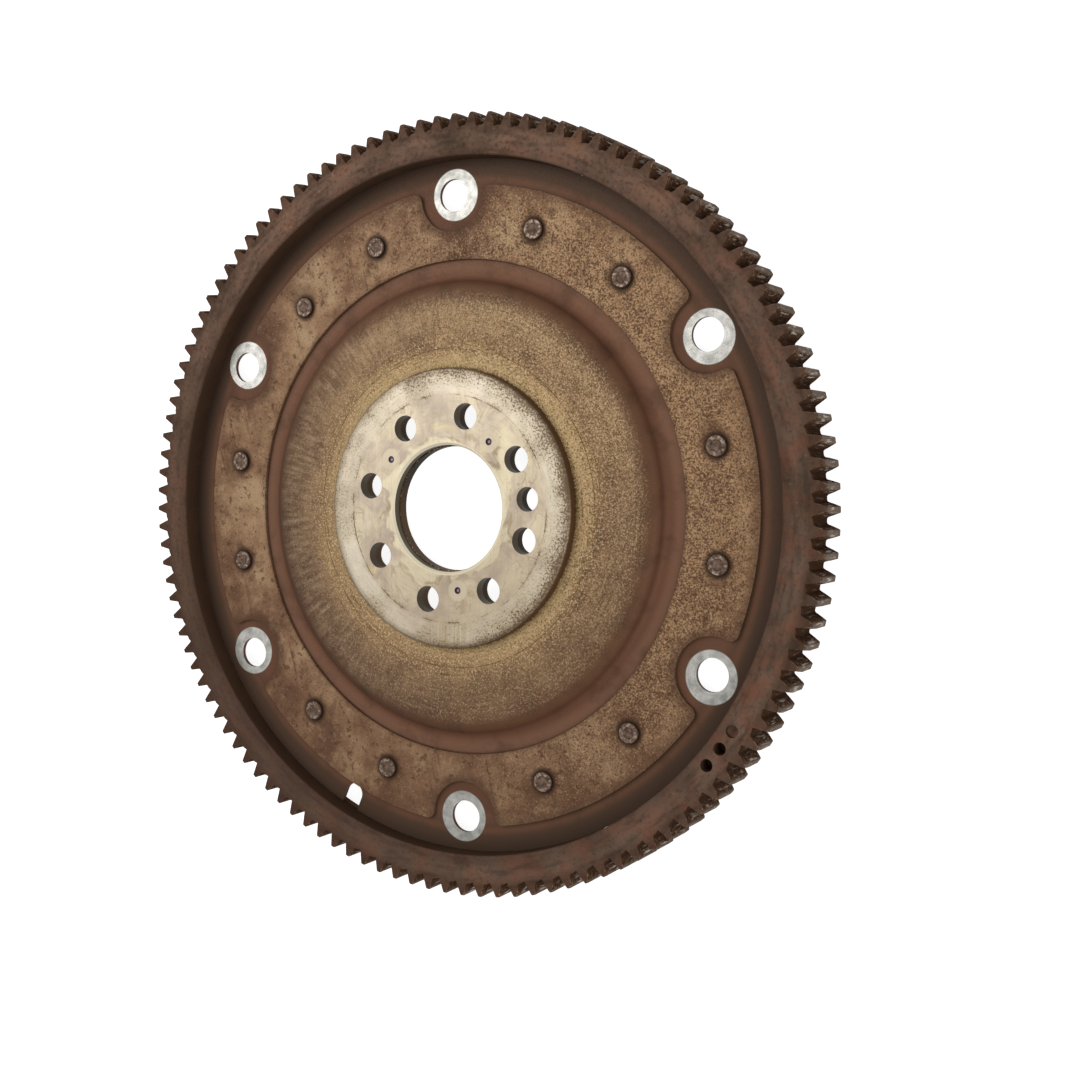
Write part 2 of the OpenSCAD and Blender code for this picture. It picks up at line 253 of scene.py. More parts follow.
def teeth_wear_glints_and_shade(tree, place, radius, height, rubbed):
    """Mottled flanks, paler at the tips, worn and painted with glints where the pinion rubbed, and darkened
    with dirt and painted shade at the feet.
    """
    flank = add(tree, "ValToRGB", {0: rubbed}, stops=[
        (0.34, "#33231A"), (0.47, "#533B2C"), (0.58, "#6A503D"), (0.70, "#A38F7A")])
    tip = add(tree, "MapRange", {0: radius, 1: TOOTH_TIP_R - 1.2, 2: TOOTH_TIP_R - 0.2, 4: 0.6})
    # Wear along the flanks, painted brighter as glints of light.
    worn_low = add(tree, "MapRange", {0: height, 1: 2.5, 2: 5.0})
    worn_high = add(tree, "MapRange", {0: height, 1: GEAR_TOP - 3.0, 2: GEAR_TOP - 6.0})
    wear_and_glints = add(tree, "Math", {0: worn_low, 1: worn_high}, operation="MULTIPLY")
    rub_size = (1 / RUB_WIDTH_MM, 1 / RUB_WIDTH_MM, 1 / RUB_LENGTH_MM)
    lengthwise = add(tree, "VectorMath", {0: place, 1: rub_size}, operation="MULTIPLY")
    rubs = add(tree, "TexNoise", {"Vector": lengthwise, "Scale": 1, "Detail": 2, "Roughness": 0.5})
    rubs = add(tree, "MapRange", {0: rubs, 1: 0.55, 2: 0.66, 4: 0.9})
    wear_and_glints = add(tree, "Math", {0: wear_and_glints, 1: rubs}, operation="MULTIPLY")
    # Dirt and painted shade in the gaps at the feet of the teeth.
    dirt_and_shade_at_foot = add(tree, "MapRange", {0: radius, 1: TOOTH_ROOT_R + 3.3, 2: TOOTH_ROOT_R + 0.9, 4: 0.85})
    for mask, tone in ((tip, "#918276"), (wear_and_glints, "#CFC7BC"), (dirt_and_shade_at_foot, "#4B3426")):
        flank = add(tree, "Mix", {0: mask, 6: flank, 7: linear(tone)}, data_type="RGBA")
    return flank


def bore_dirt_and_painted_light(tree, height, patches):
    """Bands of dirt up the wall of the gear's bore, a lighter band of painted light low down, and some crust.
    """
    level = add(tree, "MapRange", {0: height, 2: GEAR_TOP})
    # The lighter band low on the wall is painted light, where the wall lies in shade.
    dirt_and_painted_light = add(tree, "ValToRGB", {0: level}, stops=[
        (0.20, "#5E4534"), (0.23, "#70533A"), (0.36, "#70533A"),
        (0.41, "#3A2B20"), (0.80, "#463428"), (1.0, "#4E3B2E")])
    crusted = add(tree, "MapRange", {0: patches, 1: 0.46, 2: 0.62, 4: 0.35})
    return add(tree, "Mix", {0: crusted, 6: dirt_and_painted_light, 7: linear("#513A2B")}, data_type="RGBA")


print("Teeth", round(GEAR_TOP, 1), "mm long, tips at", TOOTH_TIP_R, "mm")

# %% [markdown]
# Knocks have chipped the edges of the teeth to bare steel, and these edges are also painted bright as a
# painted highlight. They could be marked by hand, but a Bevel node finds them: it rounds the normal near an
# edge, so the rounded and the true normal differ there. The rounded normal also takes the knife edge off the
# teeth.

# %% Ring gear: chipped edges with painted highlight
EDGE_MM = 0.45


def bright_edges(tree, radius, rubbed):
    """The normal with rounded edges, and a mask for the chipped edges of the teeth, painted bright as a
    highlight.
    """
    rounded = add(tree, "Bevel", {"Radius": EDGE_MM * MM}, samples=4)
    square = add(tree, "NewGeometry", {}).outputs["Normal"]
    agree = add(tree, "VectorMath", {0: rounded, 1: square}, operation="DOT_PRODUCT").outputs["Value"]
    chipped_edge_highlight = add(tree, "MapRange", {0: agree, 1: 0.97, 2: 0.85})
    toothed = add(tree, "MapRange", {0: radius, 1: TOOTH_ROOT_R + 1.2, 2: TOOTH_ROOT_R + 2.7})
    chipped_edge_highlight = add(tree, "Math", {0: chipped_edge_highlight, 1: toothed}, operation="MULTIPLY")
    chipped = add(tree, "MapRange", {0: rubbed, 1: 0.46, 2: 0.58, 4: 0.85})
    return rounded, add(tree, "Math", {0: chipped_edge_highlight, 1: chipped}, operation="MULTIPLY")


print("Edges of the teeth bright over", EDGE_MM, "mm")

# %% [markdown]
# Now the film, the teeth, the bore and the edges come together, chosen by the way a face looks and by the
# radius. Thin rust is matt, so this steel has no mirror gloss, only a little metal in the face. The real
# grit of rust is finer than a pixel, which is about 0.45 mm here, so it is drawn coarser than it is.

# %% Ring gear: finished steel
GRIT_MM = 1.6
PATCH_MM = 9
RUBBED_MM = 1.2


def gear_steel():
    """Rust film on the face, worn teeth and a dirty bore on the walls, and bright edges."""
    material, tree, place = start_steel("rusted_gear_steel")
    radius, angle = around_axis(tree, place)
    height = add(tree, "SeparateXYZ", {0: place}).outputs["Z"]
    up = facing_up(tree)
    upright = add(tree, "Math", {0: up}, operation="ABSOLUTE")
    wall = add(tree, "MapRange", {0: upright, 1: 0.75, 2: 0.45})
    under = add(tree, "MapRange", {0: up, 1: -0.3, 2: -0.6})
    off_face = add(tree, "Math", {0: wall, 1: under}, operation="MAXIMUM")
    inside = add(tree, "MapRange", {0: radius, 1: GEAR_BORE_R + 4.8, 2: GEAR_BORE_R + 3.6})

    grit = add(tree, "TexNoise", {"Vector": place, "Scale": 1 / GRIT_MM, "Detail": 4, "Roughness": 0.6})
    patches = add(tree, "TexNoise", {"Vector": place, "Scale": 1 / PATCH_MM, "Detail": 5, "Roughness": 0.6})
    rubbed = add(tree, "TexNoise", {"Vector": place, "Scale": 1 / RUBBED_MM, "Detail": 5, "Roughness": 0.65})
    film = rust_film(tree, place, angle, patches, grit)
    film = rim_streaks(tree, film, radius, angle)
    flank = teeth_wear_glints_and_shade(tree, place, radius, height, rubbed)
    bore = bore_dirt_and_painted_light(tree, height, patches)
    walls = add(tree, "Mix", {0: inside, 6: flank, 7: bore}, data_type="RGBA")
    colour = add(tree, "Mix", {0: off_face, 6: film, 7: walls}, data_type="RGBA")
    rounded, chipped_edge_highlight = bright_edges(tree, radius, rubbed)
    # Chipped edges of the teeth, painted bright as a highlight.
    colour = add(tree, "Mix", {0: chipped_edge_highlight, 6: colour, 7: linear("#BBAC9B")}, data_type="RGBA")

    gloss = add(tree, "MapRange", {0: grit, 1: 0.3, 2: 0.7, 3: 0.75, 4: 0.5})
    metal = add(tree, "MapRange", {0: off_face, 3: 0.3, 4: 0.0})
    relief = add(tree, "Bump", {"Strength": 0.4, "Distance": 0.2 * MM, "Height": grit, "Normal": rounded})
    return finish_steel(material, tree, colour, metal, gloss, relief, mirror=0.0)


dress(["starter_ring_gear"], gear_steel())

# %% [markdown]
# The disc is pressed from low-carbon sheet. Heat and oil have stained it in rings: gold beside the hub, khaki
# on the raised middle, dark brown on the bend and red-brown on the flange. Where the edges of the stiffening
# ring and the wall of the gear meet it, thin darker rings are painted shade, with some dirt in the corner by
# the gear. One colour ramp over the radius lays all these rings down, and a slow noise pushes the radius in
# and out so that they wander as real stains do.

# %% Disc: rings of stain and painted shade
HUB_R = 54.8
BEND_R = 86
STIFFENER_INNER_R = 97.5
STIFFENER_OUTER_R = 125.9
STAIN_END_R = 140
WANDER_MM = 22
# The dark stops at both edges of the stiffening ring and from 130.5 mm to the gear's wall are painted shade
# where the parts meet.
DISC_RINGS = [
    (24.5, "#2E2519"), (HUB_R, "#5A462E"), (55.4, "#AA8E62"), (57.0, "#B99D70"), (60.5, "#AF9169"),
    (63.5, "#987A55"), (66.0, "#896C50"), (72.0, "#8E7052"), (78.0, "#8A6C51"), (82.0, "#72553F"),
    (85.0, "#644632"), (88.0, "#6D4B37"), (91.0, "#6E4B38"), (94.0, "#775542"), (96.9, "#735341"),
    (STIFFENER_INNER_R, "#4E3628"), (98.4, "#5A3D2E"), (122.0, "#684836"), (STIFFENER_OUTER_R, "#5C4232"),
    (128.0, "#664735"), (130.5, "#4F3B2E"), (136.2, "#48382D"),
]


def stain_and_shade_rings(tree, place, radius, middle, blotches):
    """Rings of stain, with painted shade where the parts meet, that wander on the raised middle, with dark
    and golden blotches.
    """
    drift = add(tree, "TexNoise", {"Vector": place, "Scale": 1 / WANDER_MM, "Detail": 3})
    wander = add(tree, "MapRange", {0: drift, 1: 0.3, 2: 0.7, 3: -3.0, 4: 3.0})
    away_from_hub = add(tree, "MapRange", {0: radius, 1: HUB_R + 1.7, 2: HUB_R + 8.2})
    wander = add(tree, "Math", {0: wander, 1: away_from_hub}, operation="MULTIPLY")
    wander = add(tree, "Math", {0: wander, 1: middle}, operation="MULTIPLY")
    stained_r = add(tree, "Math", {0: radius, 1: wander}, operation="ADD")
    share = add(tree, "MapRange", {0: stained_r, 1: 0, 2: STAIN_END_R})
    colour = add(tree, "ValToRGB", {0: share}, stops=[(r / STAIN_END_R, tone) for r, tone in DISC_RINGS])
    shade = add(tree, "MapRange", {0: blotches, 1: 0.50, 2: 0.34, 4: 0.5})
    shade = add(tree, "Math", {0: shade, 1: away_from_hub}, operation="MULTIPLY")
    gold = add(tree, "MapRange", {0: blotches, 1: 0.52, 2: 0.70, 4: 0.45})
    gold = add(tree, "Math", {0: gold, 1: middle}, operation="MULTIPLY")
    for mask, tone in ((shade, "#4F392A"), (gold, "#AF9166")):
        colour = add(tree, "Mix", {0: mask, 6: colour, 7: linear(tone)}, data_type="RGBA")
    return colour


print(len(DISC_RINGS), "rings of stain out to", STAIN_END_R, "mm")

# %% [markdown]
# The rings aren't the same all round. The sheltered side is darker, where oil has baked on, and the gold
# beside the hub is scorched there. On the far side the flat of the raised middle is painted lighter, as a
# painted sheen.

# %% Disc: dark side and painted sheen
GOLD_R = 65
SHEEN_SIDE = 75
SCORCHED_SIDE = SHELTERED_SIDE + 20


def uneven_sides(tree, colour, radius, angle):
    """Scorched gold and baked oil on the sheltered side, and a painted sheen on the far side."""
    scorched = add(tree, "MapRange", {0: towards(tree, angle, SCORCHED_SIDE), 1: 0.2, 2: 1.0, 4: 0.45})
    gold_ring = add(tree, "MapRange", {0: radius, 1: GOLD_R, 2: GOLD_R - 4})
    scorched = add(tree, "Math", {0: scorched, 1: gold_ring}, operation="MULTIPLY")
    inside_bend = add(tree, "MapRange", {0: radius, 1: BEND_R + 6, 2: BEND_R})
    raised = add(tree, "MapRange", {0: radius, 1: GOLD_R + 1, 2: GOLD_R + 11})
    raised = add(tree, "Math", {0: raised, 1: inside_bend}, operation="MULTIPLY")
    baked = add(tree, "MapRange", {0: towards(tree, angle, SHELTERED_SIDE), 1: 0.1, 2: 1.0, 4: 0.62})
    baked = add(tree, "Math", {0: baked, 1: raised}, operation="MULTIPLY")
    # A painted sheen: the raised middle is lighter towards this side.
    painted_sheen = add(tree, "MapRange", {0: towards(tree, angle, SHEEN_SIDE), 1: 0.2, 2: 1.0, 4: 0.35})
    painted_sheen = add(tree, "Math", {0: painted_sheen, 1: raised}, operation="MULTIPLY")
    flat_top = add(tree, "MapRange", {0: radius, 1: BEND_R - 3, 2: BEND_R - 8})
    painted_sheen = add(tree, "Math", {0: painted_sheen, 1: flat_top}, operation="MULTIPLY")
    for mask, tone in ((scorched, "#7C5D42"), (baked, "#4C392E"), (painted_sheen, "#B79A70")):
        colour = add(tree, "Mix", {0: mask, 6: colour, 7: linear(tone)}, data_type="RGBA")
    return colour


print("Sides in degrees: scorched", SCORCHED_SIDE, "painted_sheen", SHEEN_SIDE)

# %% [markdown]
# A lathe has left turning marks round the middle, and where the plate was rubbed clean, wiping marks run
# outwards over them. Both are one noise on radius and angle: it hardly changes with the angle for the
# first, and hardly with the radius for the second. Real turning marks are a few tenths of a millimetre
# apart, which is too fine to show, so they are drawn 1.3 mm apart.

# %% Disc: turning and wiping marks
TURNING_MM = 1.3
TURNS_PER_RADIAN = 3
WIPES_PER_RADIAN = 36
WIPES_PER_MM = 0.1


def work_marks(tree, colour, radius, angle, fresh, wiped_area):
    """Turned lines and grooves where the surface is fresh, and outward strokes where it was wiped."""
    turn_angle = add(tree, "Math", {0: angle, 1: TURNS_PER_RADIAN}, operation="MULTIPLY")
    lathe = add(tree, "CombineXYZ", {0: radius, 1: turn_angle})
    turning = add(tree, "TexNoise", {"Vector": lathe, "Scale": 1 / TURNING_MM, "Detail": 3, "Roughness": 0.7})
    line = add(tree, "MapRange", {0: turning, 1: 0.56, 2: 0.70, 4: 0.35})
    line = add(tree, "Math", {0: line, 1: fresh}, operation="MULTIPLY")
    groove = add(tree, "MapRange", {0: turning, 1: 0.45, 2: 0.32, 4: 0.6})
    groove = add(tree, "Math", {0: groove, 1: fresh}, operation="MULTIPLY")

    wipe_angle = add(tree, "Math", {0: angle, 1: WIPES_PER_RADIAN}, operation="MULTIPLY")
    wipe_radius = add(tree, "Math", {0: radius, 1: WIPES_PER_MM}, operation="MULTIPLY")
    outwards = add(tree, "CombineXYZ", {0: wipe_angle, 1: wipe_radius})
    wiping = add(tree, "TexNoise", {"Vector": outwards, "Scale": 1, "Detail": 4, "Roughness": 0.55})
    soiled = add(tree, "MapRange", {0: wiping, 1: 0.46, 2: 0.30, 4: 0.3})
    wiped = add(tree, "MapRange", {0: wiping, 1: 0.44, 2: 0.70, 4: 0.5})
    for area in wiped_area:
        soiled = add(tree, "Math", {0: soiled, 1: area}, operation="MULTIPLY")
        wiped = add(tree, "Math", {0: wiped, 1: area}, operation="MULTIPLY")
    for mask, tone in ((line, "#BCA076"), (groove, "#513B26"), (soiled, "#553E2F"), (wiped, "#B0957A")):
        colour = add(tree, "Mix", {0: mask, 6: colour, 7: linear(tone)}, data_type="RGBA")
    return colour


print("Turning marks", TURNING_MM, "mm apart,", WIPES_PER_RADIAN, "wiping marks to a radian")

# %% [markdown]
# Close up, the stain is a grain of dark rust pits and bright glints, thicker on the pitted side and
# beside the hub. Real rust grain is about 0.2 mm wide. That is finer than a pixel of the render, so it is
# drawn at 0.65 mm. A thin scribed circle runs round the gold ring, broken where the stain has covered it.

# %% Disc: rust grain and scribed circle
GRAIN_MM = 0.65
SCRIBED_R = 62.7


def rust_grain(tree, colour, radius, grain, pitted, middle, fresh):
    """Dark pits on the raised middle, and glints that are strongest beside the hub."""
    pit_limit = add(tree, "MapRange", {0: pitted, 3: 0.39, 4: 0.45})
    pit_depth = add(tree, "Math", {0: pit_limit, 1: grain}, operation="SUBTRACT")
    pits = add(tree, "MapRange", {0: pit_depth, 1: 0.0, 2: 0.06, 4: 0.7})
    pits = add(tree, "Math", {0: pits, 1: middle}, operation="MULTIPLY")
    beside_hub = add(tree, "MapRange", {0: radius, 1: GOLD_R + 2, 2: GOLD_R - 5, 3: 0.65, 4: 0.9})
    glints = add(tree, "MapRange", {0: grain, 1: 0.54, 2: 0.63})
    glints = add(tree, "Math", {0: glints, 1: beside_hub}, operation="MULTIPLY")
    glints = add(tree, "Math", {0: glints, 1: fresh}, operation="MULTIPLY")
    for mask, tone in ((pits, "#503923"), (glints, "#CDB28A")):
        colour = add(tree, "Mix", {0: mask, 6: colour, 7: linear(tone)}, data_type="RGBA")
    return colour


def damp_and_scribed(tree, colour, radius, angle, blotches, damp_area):
    """A brown shade on the damp side, and the broken scribed circle."""
    damp = add(tree, "MapRange", {0: towards(tree, angle, DAMP_SIDE), 1: 0.1, 2: 1.0, 4: 0.38})
    for area in damp_area:
        damp = add(tree, "Math", {0: damp, 1: area}, operation="MULTIPLY")
    scribed = add(tree, "Math", {0: radius, 1: SCRIBED_R, 2: 0.22}, operation="COMPARE")
    kept = add(tree, "MapRange", {0: blotches, 1: 0.40, 2: 0.55, 4: 0.65})
    scribed = add(tree, "Math", {0: scribed, 1: kept}, operation="MULTIPLY")
    for mask, tone in ((damp, "#5C4332"), (scribed, "#4B3823")):
        colour = add(tree, "Mix", {0: mask, 6: colour, 7: linear(tone)}, data_type="RGBA")
    return colour


print("Rust grain", GRAIN_MM, "mm wide, scribed circle at", SCRIBED_R, "mm")

# %% [markdown]
# Six bolts and twelve rivets have left marks and dirt round them. Each could get a mask of its own, but
# the angle can be folded six times, like paper for a snowflake, and then one place stands for all six.
# The rivets come in pairs, so for them the fold is mirrored once more.

# %% Distance to the bolts and rivets
def from_six(tree, radius, angle, circle_r, first, spread=0):
    """Distance in millimetres to the nearest of six places on a circle, or of twelve in pairs."""
    turned = add(tree, "Math", {0: angle, 1: math.radians(first)}, operation="SUBTRACT")
    folded = add(tree, "Math", {0: turned, 1: math.pi / 6, 2: -math.pi / 6}, operation="WRAP")
    if spread:
        mirrored = add(tree, "Math", {0: folded}, operation="ABSOLUTE")
        folded = add(tree, "Math", {0: mirrored, 1: math.radians(spread)}, operation="SUBTRACT")
    across = add(tree, "Math", {0: folded}, operation="SINE")
    along = add(tree, "Math", {0: folded}, operation="COSINE")
    direction = add(tree, "CombineXYZ", {0: along, 1: across})
    point = add(tree, "VectorMath", {0: direction, "Scale": radius}, operation="SCALE")
    return add(tree, "VectorMath", {0: point, 1: (circle_r, 0, 0)}, operation="DISTANCE")


print("One fold spans", round(math.degrees(math.pi / 3)), "degrees")

# %% [markdown]
# Round each converter hole the flange of a bolt has kept a ring of steel bright. These rings could be
# modelled as washers, but they are only marks, so they are a mask on the distance to the nearest bolt.
# The bolts sat about a millimetre off the middle of their holes, and turning them has left round scuffs.

# %% Disc: bright rings under the bolts
CONVERTER_R = 122.75
CONVERTER_FIRST = 45
BOLT_OFF_CENTRE = 0.45
FLANGE_MARK_R = 10.25
BRUSHED_MM = 4
SWEPT_MM = 0.8


def bolt_rings(tree, place, radius, angle, grain, pitted, upper):
    """A mask for the clamped rings, and their bright steel with round scuffs and dents."""
    bolt = from_six(tree, radius, angle, CONVERTER_R, CONVERTER_FIRST - BOLT_OFF_CENTRE)
    brushed = add(tree, "TexNoise", {
        "Vector": place, "Scale": 1 / BRUSHED_MM, "Detail": 4, "Roughness": 0.55})
    bright = add(tree, "ValToRGB", {0: brushed}, stops=[
        (0.36, "#A3A29C"), (0.50, "#BEBCB5"), (0.64, "#D0CEC7")])
    swept = add(tree, "TexNoise", {"W": bolt, "Scale": 1 / SWEPT_MM, "Detail": 2}, noise_dimensions="1D")
    scuffs = add(tree, "MapRange", {0: swept, 1: 0.48, 2: 0.36, 4: 0.3})
    dents = add(tree, "MapRange", {0: grain, 1: 0.42, 2: 0.34, 4: 0.4})
    dents = add(tree, "Math", {0: dents, 1: pitted}, operation="MULTIPLY")
    for mask, tone in ((scuffs, "#7B7C77"), (dents, "#73746F")):
        bright = add(tree, "Mix", {0: mask, 6: bright, 7: linear(tone)}, data_type="RGBA")
    clamped = add(tree, "MapRange", {0: bolt, 1: FLANGE_MARK_R, 2: FLANGE_MARK_R - 0.3})
    clamped = add(tree, "Math", {0: clamped, 1: upper}, operation="MULTIPLY")
    return clamped, bright


print("Six bright rings of", 2 * FLANGE_MARK_R, "mm on a circle of", 2 * CONVERTER_R, "mm")

# %% [markdown]
# Now the layers come together in the order in which they came to the real disc: stain, marks of work,
# rust, and last the bolts. Stained steel is dull and shows little metal, and the clamped rings show more.
# The plate behind the hub was pressed from the same sheet, so it shares this steel.

# %% Disc: finished steel
BLOTCH_MM = 11
RUBBED_SIDE = PITTED_SIDE + 150


def disc_steel():
    """Stained sheet, with marks of work and rust on the raised middle and bright rings on the flange."""
    material, tree, place = start_steel("stained_pressed_sheet")
    radius, angle = around_axis(tree, place)
    pitted = add(tree, "MapRange", {0: towards(tree, angle, PITTED_SIDE), 1: -0.5, 2: 0.8})
    upper = add(tree, "MapRange", {0: facing_up(tree), 1: 0.6, 2: 0.9})
    middle = add(tree, "MapRange", {0: radius, 1: BEND_R, 2: BEND_R - 6})
    middle = add(tree, "Math", {0: middle, 1: upper}, operation="MULTIPLY")
    rubbed_side = add(tree, "MapRange", {0: towards(tree, angle, RUBBED_SIDE), 1: -0.3, 2: 0.7})
    rubbed_ring = add(tree, "MapRange", {0: radius, 1: GOLD_R - 1, 2: GOLD_R + 7})
    rubbed = add(tree, "Math", {0: rubbed_side, 1: rubbed_ring}, operation="MULTIPLY")
    fresh = add(tree, "MapRange", {0: rubbed, 3: 1.0, 4: 0.35})
    fresh = add(tree, "Math", {0: fresh, 1: middle}, operation="MULTIPLY")

    blotches = add(tree, "TexNoise", {"Vector": place, "Scale": 1 / BLOTCH_MM, "Detail": 5, "Roughness": 0.6})
    grain = add(tree, "TexNoise", {"Vector": place, "Scale": 1 / GRAIN_MM, "Detail": 3, "Roughness": 0.6})
    colour = stain_and_shade_rings(tree, place, radius, middle, blotches)
    colour = uneven_sides(tree, colour, radius, angle)
    colour = work_marks(tree, colour, radius, angle, fresh, (rubbed, middle))
    colour = rust_grain(tree, colour, radius, grain, pitted, middle, fresh)
    colour = damp_and_scribed(tree, colour, radius, angle, blotches, (rubbed_ring, middle))
    clamped, bright = bolt_rings(tree, place, radius, angle, grain, pitted, upper)
    colour = add(tree, "Mix", {0: clamped, 6: colour, 7: bright}, data_type="RGBA")

    dull = add(tree, "MapRange", {0: grain, 1: 0.3, 2: 0.7, 3: 0.7, 4: 0.52})
    gloss = add(tree, "Mix", {0: clamped, 2: dull, 3: 0.42})
    metal = add(tree, "MapRange", {0: clamped, 3: 0.3, 4: 0.8})
    relief = add(tree, "Bump", {"Strength": 0.3, "Distance": 0.12 * MM, "Height": grain})
    return finish_steel(material, tree, colour, metal, gloss, relief, mirror=0.15)


dress(["flex_disc", "back_plate"], disc_steel())

# %% [markdown]
# The stiffening ring is a thinner sheet with a tan stain in soft clouds. It is browner towards its outer
# edge, painted lighter on the pitted side as painted light, and darker in the damp. Wide clouds set the tone,
# and middle-sized blotches, a few scratches and rust dots break it up.

# %% Stiffening ring: tan stain
STAIN_MM = 22
SCRATCH_MM = (30, 1.2)
SCRATCH_TURN = 62
DOT_MM = 2.4


def tan_stain(tree, place, radius, angle, blotches, edge_rust):
    """Tan clouds, browner outside, painted lighter on the pitted side as painted light, darker in the damp,
    with blotches.
    """
    clouds = add(tree, "TexNoise", {"Vector": place, "Scale": 1 / STAIN_MM, "Detail": 4, "Roughness": 0.5})
    colour = add(tree, "ValToRGB", {0: clouds}, stops=[
        (0.28, "#5F4332"), (0.42, "#7F5F48"), (0.55, "#937357"), (0.68, "#A78A6B")])
    soaked = add(tree, "MapRange", {0: clouds, 1: 0.3, 2: 0.7, 3: 7.0, 4: -7.0})
    soaked = add(tree, "Math", {0: radius, 1: soaked}, operation="ADD")
    browned = add(tree, "MapRange", {
        0: soaked, 1: STIFFENER_OUTER_R - 11.9, 2: STIFFENER_OUTER_R - 0.9, 4: 0.6})
    browned = add(tree, "Math", {0: browned, 1: edge_rust}, operation="MULTIPLY")
    # Painted light: the ring is lighter towards the pitted side.
    pitted_side_painted_light = add(tree, "MapRange", {0: towards(tree, angle, PITTED_SIDE), 1: 0.3, 2: 1.0, 4: 0.4})
    damp = add(tree, "MapRange", {0: towards(tree, angle, DAMP_SIDE - 15), 1: 0.2, 2: 1.0, 4: 0.3})
    dark = add(tree, "MapRange", {0: blotches, 1: 0.48, 2: 0.34, 4: 0.65})
    pale = add(tree, "MapRange", {0: blotches, 1: 0.54, 2: 0.70, 4: 0.5})
    for mask, tone in ((browned, "#634632"), (pitted_side_painted_light, "#B08C66"), (damp, "#5F4432"),
                       (dark, "#5E422E"), (pale, "#AC8F6D")):
        colour = add(tree, "Mix", {0: mask, 6: colour, 7: linear(tone)}, data_type="RGBA")
    return colour


def scratches_and_dots(tree, colour, place):
    """Long thin scratches in one direction, and round rust dots."""
    crossing = add(tree, "VectorRotate", {
        "Vector": place, "Angle": math.radians(SCRATCH_TURN)}, rotation_type="Z_AXIS")
    scratch_size = (1 / SCRATCH_MM[0], 1 / SCRATCH_MM[1], 1)
    crossing = add(tree, "VectorMath", {0: crossing, 1: scratch_size}, operation="MULTIPLY")
    scratches = add(tree, "TexNoise", {"Vector": crossing, "Scale": 1, "Detail": 2, "Roughness": 0.5})
    scratches = add(tree, "MapRange", {0: scratches, 1: 0.65, 2: 0.71, 4: 0.5})
    dots = add(tree, "TexNoise", {"Vector": place, "Scale": 1 / DOT_MM, "Detail": 2, "Roughness": 0.5})
    dots = add(tree, "MapRange", {0: dots, 1: 0.39, 2: 0.32, 4: 0.7})
    for mask, tone in ((scratches, "#50382A"), (dots, "#533A27")):
        colour = add(tree, "Mix", {0: mask, 6: colour, 7: linear(tone)}, data_type="RGBA")
    return colour


print("Tan stain: clouds", STAIN_MM, "mm wide, dots", DOT_MM, "mm")

# %% [markdown]
# On the pitted side rust has eaten the sheet into dark pits and pale specks. Both come from one grain:
# what lies below a limit is a pit, and what lies above another is a speck. Moving the limits makes more
# or fewer of them.

# %% Stiffening ring: pits and specks
def pits_and_specks(tree, colour, radius, grain, pitted):
    """Dark pits and pale specks, more of them on the pitted side and towards the inner edge."""
    inner_part = add(tree, "MapRange", {
        0: radius, 1: STIFFENER_OUTER_R + 0.1, 2: STIFFENER_OUTER_R - 13.9, 3: 0.5, 4: 1.0})
    eaten = add(tree, "Math", {0: pitted, 1: inner_part}, operation="MULTIPLY")
    pit_limit = add(tree, "MapRange", {0: eaten, 3: 0.39, 4: 0.49})
    pit_depth = add(tree, "Math", {0: pit_limit, 1: grain}, operation="SUBTRACT")
    pits = add(tree, "MapRange", {0: pit_depth, 1: 0.0, 2: 0.06, 4: 0.8})
    speck_limit = add(tree, "MapRange", {0: eaten, 3: 0.63, 4: 0.54})
    speck_height = add(tree, "Math", {0: grain, 1: speck_limit}, operation="SUBTRACT")
    specks = add(tree, "MapRange", {0: speck_height, 1: 0.0, 2: 0.09, 4: 0.7})
    for mask, tone in ((pits, "#523928"), (specks, "#BA9970")):
        colour = add(tree, "Mix", {0: mask, 6: colour, 7: linear(tone)}, data_type="RGBA")
    return colour


print("Pits and specks", GRAIN_MM, "mm wide")

# %% [markdown]
# Dirt has settled round the rivets, in the scallops and along both edges of the ring. Round the rivets and
# along the inner edge the darkening is also painted shadow, where the rivet heads and the edge of the ring
# would cast shade. Each kind is a mask on a distance, with a soft and uneven edge. Round the rivets there is
# a second mask on places that a slow noise has pushed about, so this dirt and painted shadow look smeared,
# and not drawn with a compass.

# %% Stiffening ring: settled dirt and painted shadow
RIVET_R = 111.7
RIVET_HEAD_R = 4.1
RIVET_SPREAD = 11
LOBE_FIRST = 15
SCALLOP_R = 14.3
SMEAR_MM = 45
SMEAR_REACH = 14.0


def smeared_dirt_and_shadow(tree, place, uneven):
    """A mask for dirt and painted shadow round the rivets that has been pushed out of place."""
    push = add(tree, "TexNoise", {"Vector": place, "Scale": 1 / SMEAR_MM, "Detail": 0})
    push = add(tree, "VectorMath", {0: push.outputs["Color"], 1: (0.5, 0.5, 0.5)}, operation="SUBTRACT")
    push = add(tree, "VectorMath", {0: push, "Scale": SMEAR_REACH}, operation="SCALE")
    pushed = add(tree, "VectorMath", {0: place, 1: push}, operation="ADD")
    radius, angle = around_axis(tree, pushed)
    dirt_and_shadow_smear = from_six(tree, radius, angle, RIVET_R, LOBE_FIRST, RIVET_SPREAD)
    dirt_and_shadow_smear = add(tree, "Math", {0: dirt_and_shadow_smear, 1: uneven}, operation="ADD")
    return add(tree, "MapRange", {
        0: dirt_and_shadow_smear, 1: RIVET_HEAD_R + 4.4, 2: RIVET_HEAD_R - 0.1, 4: 0.5}, interpolation_type="SMOOTHSTEP")


